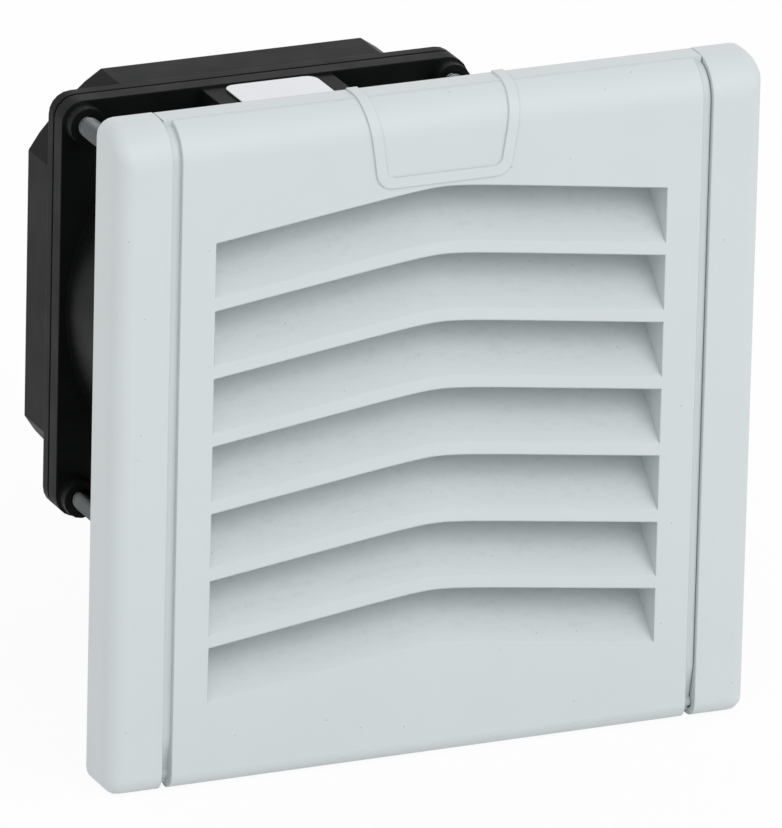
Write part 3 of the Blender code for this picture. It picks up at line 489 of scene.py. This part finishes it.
def smooth(piece, angle=EDGE_ANGLE):
    """Shade smooth across edges flatter than an angle, with large faces kept flat."""
    only(piece)
    bpy.ops.object.shade_smooth_by_angle(angle=angle)
    apply_modifier(piece, "WEIGHTED_NORMAL", keep_sharp=True, weight=FLAT_WEIGHT)


def dress(piece, body, slot, *nodes):
    """Give a piece its finish and body, and hide the CAD nodes it takes the place of."""
    piece.data.materials.clear()
    piece.data.materials.append(finish_named(slot))
    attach(piece, body)
    if nodes:
        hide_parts(*nodes)
    return piece


def refined(node, body, slot, width, shape=None):
    """Show a CAD node as a merged copy with rounded edges, reshaped first if asked."""
    piece = copy_node(node, f"{node}_skin")
    if shape:
        shape(piece)
    if width > 0:
        round_edges(piece, width)
    smooth(piece)
    return dress(piece, body, slot, node)


class FilterFanLook(bpy.types.PropertyGroup):
    """Sizes and colours of the finishes."""

    pale_colour: FloatVectorProperty(
        name="Pale plastic", description="Colour of the face, cover and housing",
        default=(0.640, 0.688, 0.696), size=3, min=0.0, max=1.0, subtype="COLOR",
    )
    casting_colour: FloatVectorProperty(
        name="Fan casting", description="Colour of the painted fan frame",
        default=(0.0047, 0.0053, 0.0050), size=3, min=0.0, max=1.0, subtype="COLOR",
    )
    moulding_colour: FloatVectorProperty(
        name="Black mouldings", description="Colour of the impeller, clips and terminal block",
        default=(0.0065, 0.0065, 0.0070), size=3, min=0.0, max=1.0, subtype="COLOR",
    )
    fleece_colour: FloatVectorProperty(
        name="Filter fleece", description="Colour of the filter mat's fibres",
        default=(0.80, 0.81, 0.80), size=3, min=0.0, max=1.0, subtype="COLOR",
    )
    foam_colour: FloatVectorProperty(
        name="Gasket foam", description="Colour of the gasket",
        default=(0.025, 0.025, 0.025), size=3, min=0.0, max=1.0, subtype="COLOR",
    )
    sticker_colour: FloatVectorProperty(
        name="Sticker", description="Colour of the bare sticker",
        default=(0.80, 0.81, 0.84), size=3, min=0.0, max=1.0, subtype="COLOR",
    )
    zinc_colour: FloatVectorProperty(
        name="Zinc plate", description="Colour of the plated screws",
        default=(0.14, 0.15, 0.15), size=3, min=0.0, max=1.0, subtype="COLOR",
    )
    steel_colour: FloatVectorProperty(
        name="Plain steel", description="Colour of the motor's steel pieces",
        default=(0.42, 0.42, 0.43), size=3, min=0.0, max=1.0, subtype="COLOR",
    )
    brass_colour: FloatVectorProperty(
        name="Tinned brass", description="Colour of the spade tabs",
        default=(0.72, 0.69, 0.58), size=3, min=0.0, max=1.0, subtype="COLOR",
    )
    copper_colour: FloatVectorProperty(
        name="Copper wire", description="Colour of the windings",
        default=(0.50, 0.18, 0.06), size=3, min=0.0, max=1.0, subtype="COLOR",
    )
    casting_gloss: FloatProperty(
        name="Black gloss", description="Strength of the reflections on the black pieces",
        default=0.06, min=0.0, max=1.0, subtype="FACTOR",
    )
    moulded_edge: FloatProperty(
        name="Moulded edge", description="Radius of the plastic pieces' edges",
        default=0.3 * MM, min=0.0, max=2 * MM, unit="LENGTH",
    )
    seam_closing: FloatProperty(
        name="Seam closing", description="How far each strip's wall comes towards the cover",
        default=0.15 * MM, min=0.0, max=0.25 * MM, unit="LENGTH",
    )
    cast_edge: FloatProperty(
        name="Cast edge", description="Radius of the casting's edges",
        default=0.35 * MM, min=0.0, max=2 * MM, unit="LENGTH",
    )
    small_edge: FloatProperty(
        name="Small edge", description="Radius of the small pieces' edges",
        default=0.12 * MM, min=0.0, max=1 * MM, unit="LENGTH",
    )
    mat_loft: FloatProperty(
        name="Mat loft", description="How uneven the filter mat's surface is",
        default=0.5 * MM, min=0.0, max=2 * MM, unit="LENGTH",
    )
    strand_count: IntProperty(
        name="Strands", description="Loose fibres on the filter mat", default=1800, min=0, max=4000,
    )
    thread_pitch: FloatProperty(
        name="Thread pitch", description="Pitch of the fan screws",
        default=0.7 * MM, min=0.3 * MM, max=2 * MM, unit="LENGTH",
    )
    thread_crest: FloatProperty(
        name="Thread radius", description="Outer radius of the fan screws' thread",
        default=1.75 * MM, min=1 * MM, max=3 * MM, unit="LENGTH",
    )


class FilterFanStage(bpy.types.PropertyGroup):
    """Light, floor and backdrop."""

    floor_colour: FloatVectorProperty(
        name="Floor", description="Colour of the floor",
        default=(0.9, 0.9, 0.9), size=3, min=0.0, max=1.0, subtype="COLOR",
    )
    sky_strength: FloatProperty(
        name="Sky", description="Strength of the even light from all round",
        default=0.82, min=0.0, max=3.0,
    )
    key_power: FloatProperty(
        name="Key light", description="Power of the large light in front on the right",
        default=11.2, min=0.0, unit="POWER",
    )
    fill_power: FloatProperty(
        name="Fill light", description="Power of the light on the left",
        default=0.6, min=0.0, unit="POWER",
    )


def narrow_seams(piece):
    """Bring the strips' inner walls nearer to the cover, so that the seams show thin."""
    closing = bpy.context.scene.filter_fan_look.seam_closing
    for side in (-1.0, 1.0):
        wall = side * STRIP_INNER

        def on_wall(place):
            return abs(place.x - wall) < ON_WALL

        move_points(piece, on_wall, (-side * closing, 0.0, 0.0))


class FILTERFAN_OT_base_frame(bpy.types.Operator):
    """Face frame, housing and fan plate in one pale moulding"""

    bl_idname = "filterfan.base_frame"
    bl_label = "Base frame"

    def execute(self, context):
        edge = context.scene.filter_fan_look.moulded_edge
        refined("base_frame", "housing", "pale_plastic", edge, shape=narrow_seams)
        return {"FINISHED"}


class FILTERFAN_OT_louvre_cover(bpy.types.Operator):
    """Hinged cover with its chevron louvres and bare badge"""

    bl_idname = "filterfan.louvre_cover"
    bl_label = "Louvre cover"

    def execute(self, context):
        refined("louvre_cover", "cover", "pale_plastic", context.scene.filter_fan_look.moulded_edge)
        return {"FINISHED"}


def fleece_body(name, low, high, loft):
    """Flat pad with a softly uneven surface on both sides."""
    middle = (low + high) / 2
    size = high - low
    only_none()
    bpy.ops.mesh.primitive_grid_add(
        x_subdivisions=MAT_CELLS, y_subdivisions=MAT_CELLS, size=1.0,
        location=middle, rotation=(math.pi / 2, 0.0, 0.0),
    )
    pad = bpy.context.active_object
    pad.name = name
    pad.scale = (size.x - loft, size.z - loft, 1.0)
    bpy.ops.object.transform_apply(location=True, rotation=True, scale=True)
    apply_modifier(pad, "SOLIDIFY", thickness=size.y - 2 * loft, offset=0.0)
    lumps = bpy.data.textures.new("lumps", "CLOUDS")
    lumps.noise_scale = LUMP_SIZE
    lumps.noise_depth = 3
    apply_modifier(pad, "DISPLACE", texture=lumps, strength=LUMP_HEIGHT * loft, mid_level=0.5)
    return pad


def strand(rng, length, radius):
    """Points and faces of one thin curved fibre that lies about the origin in X and Z."""
    turn = rng.uniform(0.0, math.tau)
    curl = rng.uniform(-FIBRE_CURL, FIBRE_CURL)
    points = []
    faces = []
    x, z = 0.0, 0.0
    for step in range(FIBRE_STEPS + 1):
        heading = turn + curl * (step / FIBRE_STEPS - 0.5)
        x += length / FIBRE_STEPS * math.cos(heading)
        z += length / FIBRE_STEPS * math.sin(heading)
        lift = radius * FIBRE_RISE * math.sin(math.pi * step / FIBRE_STEPS) * rng.uniform(0.3, 1.0)
        for corner in range(3):
            angle = math.tau * corner / 3
            side = radius * math.cos(angle)
            across = x - side * math.sin(heading)
            along = z + side * math.cos(heading)
            points.append((across, -lift + radius * math.sin(angle), along))
        if step:
            first = 3 * (step - 1)
            for corner in range(3):
                after = (corner + 1) % 3
                faces.append((first + corner, first + after, first + 3 + after, first + 3 + corner))
    faces.append((2, 1, 0))
    last = 3 * FIBRE_STEPS
    faces.append((last, last + 1, last + 2))
    return points, faces


def loose_fibres(name, low, high, count):
    """Thin fibres strewn over the front and the back of the mat, three in four on the front."""
    rng = random.Random(FIBRE_SEED)
    points = []
    faces = []
    for index in range(count):
        length = rng.uniform(*FIBRE_LENGTH)
        strand_points, strand_faces = strand(rng, length, rng.uniform(*FIBRE_RADIUS))
        margin = length * 0.8
        x = rng.uniform(low.x + margin, high.x - margin)
        z = rng.uniform(low.z + margin, high.z - margin)
        front = index % 4 > 0
        y = low.y + FIBRE_DEPTH if front else high.y - FIBRE_DEPTH
        side = 1.0 if front else -1.0
        base = len(points)
        points.extend((x + px, y + side * py, z + pz) for px, py, pz in strand_points)
        order = 1 if front else -1
        faces.extend(tuple(base + corner for corner in face[::order]) for face in strand_faces)
    mesh = bpy.data.meshes.new(name)
    mesh.from_pydata(points, [], faces)
    piece = bpy.data.objects.new(name, mesh)
    bpy.context.scene.collection.objects.link(piece)
    return piece


class FILTERFAN_OT_filter_mat(bpy.types.Operator):
    """Bonded fibre mat with loose strands on both faces"""

    bl_idname = "filterfan.filter_mat"
    bl_label = "Filter mat"

    def execute(self, context):
        look = context.scene.filter_fan_look
        pad = fleece_body("mat_fleece", MAT_LOW, MAT_HIGH, look.mat_loft)
        fibres = loose_fibres("mat_strands", MAT_LOW, MAT_HIGH, look.strand_count)
        only(pad, fibres)
        bpy.ops.object.join()
        only(pad)
        bpy.ops.object.mode_set(mode="EDIT")
        bpy.ops.mesh.select_all(action="SELECT")
        bpy.ops.mesh.normals_make_consistent(inside=False)
        bpy.ops.object.mode_set(mode="OBJECT")
        bpy.ops.object.shade_smooth()
        dress(pad, "housing", "filter_fleece", "filter_mat")
        return {"FINISHED"}


def thread_ridge(name, crest, pitch, start, end, x, z):
    """Helical ridge of a screw between two places along Y, with its ends closed."""
    only_none()
    height = THREAD_HEIGHT
    root = crest - height
    bpy.ops.mesh.primitive_circle_add(
        vertices=3, radius=height * PROFILE_RADIUS, fill_type="NGON",
        location=(root + height * PROFILE_MIDDLE, 0.0, 0.0), rotation=(0.0, 0.0, -math.pi / 2),
    )
    ridge = bpy.context.active_object
    ridge.name = name
    bpy.ops.object.transform_apply(location=True, rotation=True, scale=True)
    bpy.ops.object.mode_set(mode="EDIT")
    bpy.ops.mesh.select_all(action="SELECT")
    widening = PROFILE_WIDTH * pitch / (PROFILE_SIDE * height)
    bpy.ops.transform.resize(value=(1.0, widening, 1.0))
    bpy.ops.object.mode_set(mode="OBJECT")
    turns = (end - start) / pitch
    steps = int(THREAD_STEPS * turns)
    apply_modifier(
        ridge, "SCREW", axis="Y", angle=math.tau * turns, screw_offset=end - start,
        steps=steps, render_steps=steps, use_merge_vertices=False,
    )
    only(ridge)
    bpy.ops.transform.translate(value=(x, start, z))
    bpy.ops.object.transform_apply(location=True, rotation=True, scale=True)
    bpy.ops.object.mode_set(mode="EDIT")
    bpy.ops.mesh.select_all(action="SELECT")
    bpy.ops.mesh.fill_holes(sides=3)
    bpy.ops.mesh.select_all(action="SELECT")
    bpy.ops.mesh.normals_make_consistent(inside=False)
    bpy.ops.object.mode_set(mode="OBJECT")
    return ridge


class FILTERFAN_OT_fan_screws(bpy.types.Operator):
    """Four pan-head screws with a cross recess and a thread"""

    bl_idname = "filterfan.fan_screws"
    bl_label = "Fan screws"

    def execute(self, context):
        look = context.scene.filter_fan_look
        for number in range(1, 5):
            node = f"fan_screw_{number}"
            low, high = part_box(node)
            x, z = (low.x + high.x) / 2, (low.z + high.z) / 2
            screw = copy_node(node, f"{node}_skin")
            round_edges(screw, look.small_edge)
            ridge = thread_ridge(
                f"{node}_thread", look.thread_crest, look.thread_pitch,
                low.y + THREAD_FOOT, high.y - THREAD_HEAD, x, z,
            )
            only(screw, ridge)
            bpy.ops.object.join()
            smooth(screw, THREAD_ANGLE)
            dress(screw, "housing", "zinc_steel", node)
        return {"FINISHED"}


class FILTERFAN_OT_fan_frame(bpy.types.Operator):
    """Black cast frame of the fan"""

    bl_idname = "filterfan.fan_frame"
    bl_label = "Fan frame"

    def execute(self, context):
        refined("fan_frame", "housing", "black_casting", context.scene.filter_fan_look.cast_edge)
        return {"FINISHED"}


class FILTERFAN_OT_support_grid(bpy.types.Operator):
    """Grid that carries the filter mat"""

    bl_idname = "filterfan.support_grid"
    bl_label = "Support grid"

    def execute(self, context):
        refined("filter_support_grid", "housing", "pale_plastic", context.scene.filter_fan_look.small_edge)
        return {"FINISHED"}


class FILTERFAN_OT_panel_gasket(bpy.types.Operator):
    """Foam gasket behind the face"""

    bl_idname = "filterfan.panel_gasket"
    bl_label = "Panel gasket"

    def execute(self, context):
        refined("panel_gasket", "housing", "gasket_foam", context.scene.filter_fan_look.small_edge)
        return {"FINISHED"}


class FILTERFAN_OT_snap_clips(bpy.types.Operator):
    """Four spring clips that hold the housing in its cut-out"""

    bl_idname = "filterfan.snap_clips"
    bl_label = "Snap clips"

    def execute(self, context):
        edge = context.scene.filter_fan_look.small_edge
        for number in range(1, 5):
            refined(f"snap_clip_{number}", f"clip_{number}", "black_plastic", edge)
        return {"FINISHED"}


class FILTERFAN_OT_sticker(bpy.types.Operator):
    """Bare sticker on the fan frame"""

    bl_idname = "filterfan.sticker"
    bl_label = "Sticker"

    def execute(self, context):
        refined("fan_label", "housing", "bare_sticker", STICKER_EDGE)
        return {"FINISHED"}


class FILTERFAN_OT_impeller(bpy.types.Operator):
    """Hub and blades, with the steel cup that drives them"""

    bl_idname = "filterfan.impeller"
    bl_label = "Impeller"

    def execute(self, context):
        edge = context.scene.filter_fan_look.small_edge
        refined("impeller", "rotor", "black_plastic", edge)
        for node in ("rotor_cup", "rotor_shaft", "shaft_clip"):
            refined(node, "rotor", "plain_steel", edge)
        return {"FINISHED"}


class FILTERFAN_OT_motor(bpy.types.Operator):
    """Bearings, core and windings round the shaft"""

    bl_idname = "filterfan.motor"
    bl_label = "Motor"

    def execute(self, context):
        edge = context.scene.filter_fan_look.small_edge
        for node in ("bearing_front", "bearing_rear", "stator_core"):
            refined(node, "housing", "plain_steel", edge)
        refined("bearing_spacer", "housing", "zinc_steel", edge)
        for number in range(1, 5):
            refined(f"stator_coil_{number}", "housing", "enamelled_copper", edge)
        return {"FINISHED"}


class FILTERFAN_OT_terminals(bpy.types.Operator):
    """Terminal block with its spade tabs, and the earth tab with its screw"""

    bl_idname = "filterfan.terminals"
    bl_label = "Terminals"

    def execute(self, context):
        edge = context.scene.filter_fan_look.small_edge
        refined("terminal_block", "housing", "black_plastic", edge)
        for node in ("terminal_tab_1", "terminal_tab_2", "earth_tab"):
            refined(node, "housing", "tinned_brass", edge)
        refined("earth_screw", "housing", "zinc_steel", edge)
        return {"FINISHED"}


def shadow_floor(name, colour):
    """Floor that shows nearly white to the camera and keeps a soft shadow."""
    finish = Finish(name, colour)
    finish.set("Roughness", 0.9)
    finish.set("Specular IOR Level", 0.1)
    finish.tone(finish.noise(0.4, 2.0), 0.985)
    glow = finish.node("ShaderNodeEmission", {}, {"Color": WHITE, "Strength": 1.0}, "Emission")
    surface = Signal(finish, finish.shader.outputs[0])
    sockets = {0: finish.backdrop_rays() * 0.94, 1: surface, 2: glow}
    blend = finish.node("ShaderNodeMixShader", {}, sockets)
    finish.feed(finish.tree.nodes["Material Output"].inputs["Surface"], blend)
    return finish.material


def studio_world(name, strength):
    """Even white light from all round that shows as white behind the object."""
    world = bpy.data.worlds.new(name)
    world.use_nodes = True
    nodes = Nodes(world.node_tree)
    back = world.node_tree.nodes["Background"]
    nodes.feed(back.inputs["Color"], WHITE)
    nodes.feed(back.inputs["Strength"], strength + (1.0 - strength) * nodes.backdrop_rays())
    return world


def soft_light(name, place, size, power):
    """Square area light turned towards the frame's origin."""
    bpy.ops.object.light_add(type="AREA", location=place)
    lamp = bpy.context.active_object
    lamp.name = name
    lamp.data.size = size
    lamp.data.energy = power
    lamp.rotation_euler = (-Vector(place)).to_track_quat("-Z", "Y").to_euler()
    return lamp


def studio_camera():
    """Camera where the photograph's stood."""
    forward = Vector((
        math.sin(CAMERA_YAW) * math.cos(CAMERA_PITCH),
        math.cos(CAMERA_YAW) * math.cos(CAMERA_PITCH),
        -math.sin(CAMERA_PITCH),
    ))
    level = Vector((math.cos(CAMERA_YAW), -math.sin(CAMERA_YAW), 0.0))
    up = level.cross(forward)
    right = math.cos(CAMERA_ROLL) * level + math.sin(CAMERA_ROLL) * up
    up = right.cross(forward)
    turn = Matrix((right, up, -forward)).transposed().to_4x4()
    bpy.ops.object.camera_add()
    camera = bpy.context.active_object
    camera.name = "photo_camera"
    camera.matrix_world = Matrix.Translation(CAMERA_AIM - CAMERA_DISTANCE * forward) @ turn
    camera.data.sensor_width = SENSOR
    camera.data.lens = FOCAL_PIXELS * SENSOR / max(PHOTO_WIDTH, PHOTO_HEIGHT)
    camera.data.clip_start = CAMERA_NEAR
    camera.data.clip_end = CAMERA_FAR
    bpy.context.scene.camera = camera
    return camera


class FILTERFAN_OT_stage(bpy.types.Operator):
    """Floor, soft light and the photograph's camera"""

    bl_idname = "filterfan.stage"
    bl_label = "Stage"

    def execute(self, context):
        stage = context.scene.filter_fan_stage
        only_none()
        height = FACE_LOW.z - FLOOR_GAP
        bpy.ops.mesh.primitive_plane_add(size=FLOOR_SIZE, location=(0.0, 0.0, height))
        floor = context.active_object
        floor.name = "floor"
        floor.data.materials.append(shadow_floor("floor", stage.floor_colour))
        soft_light("key_light", KEY_PLACE, KEY_SIZE, stage.key_power)
        soft_light("fill_light", FILL_PLACE, FILL_SIZE, stage.fill_power)
        context.scene.world = studio_world("studio", stage.sky_strength)
        context.scene.view_settings.view_transform = "Standard"
        studio_camera()
        return {"FINISHED"}


class FILTERFAN_PT_pieces(bpy.types.Panel):
    """Sizes, colours and pieces of the filter fan"""

    bl_idname = "FILTERFAN_PT_pieces"
    bl_label = "Filter fan"
    bl_space_type = "VIEW_3D"
    bl_region_type = "UI"
    bl_category = "Filter fan"

    def draw(self, context):
        layout = self.layout
        for settings in (context.scene.filter_fan_look, context.scene.filter_fan_stage):
            column = layout.column(align=True)
            for name in settings.__annotations__:
                column.prop(settings, name)
        for piece in PIECES:
            layout.operator(piece.bl_idname)


PIECES = (
    FILTERFAN_OT_base_frame,
    FILTERFAN_OT_louvre_cover,
    FILTERFAN_OT_filter_mat,
    FILTERFAN_OT_fan_frame,
    FILTERFAN_OT_fan_screws,
    FILTERFAN_OT_support_grid,
    FILTERFAN_OT_panel_gasket,
    FILTERFAN_OT_snap_clips,
    FILTERFAN_OT_sticker,
    FILTERFAN_OT_impeller,
    FILTERFAN_OT_motor,
    FILTERFAN_OT_terminals,
    FILTERFAN_OT_stage,
)
CLASSES = (FilterFanLook, FilterFanStage, *PIECES, FILTERFAN_PT_pieces)


def register():
    """Make the operators, the panel and the settings known to Blender."""
    for known in CLASSES:
        bpy.utils.register_class(known)
    bpy.types.Scene.filter_fan_look = PointerProperty(type=FilterFanLook)
    bpy.types.Scene.filter_fan_stage = PointerProperty(type=FilterFanStage)


def unregister():
    """Take everything out again."""
    del bpy.types.Scene.filter_fan_stage
    del bpy.types.Scene.filter_fan_look
    for known in reversed(CLASSES):
        bpy.utils.unregister_class(known)


def main():
    """Build every piece in order."""
    register()
    for piece in PIECES:
        group, operation = piece.bl_idname.split(".")
        getattr(getattr(bpy.ops, group), operation)()


if __name__ == "__main__":
    main()
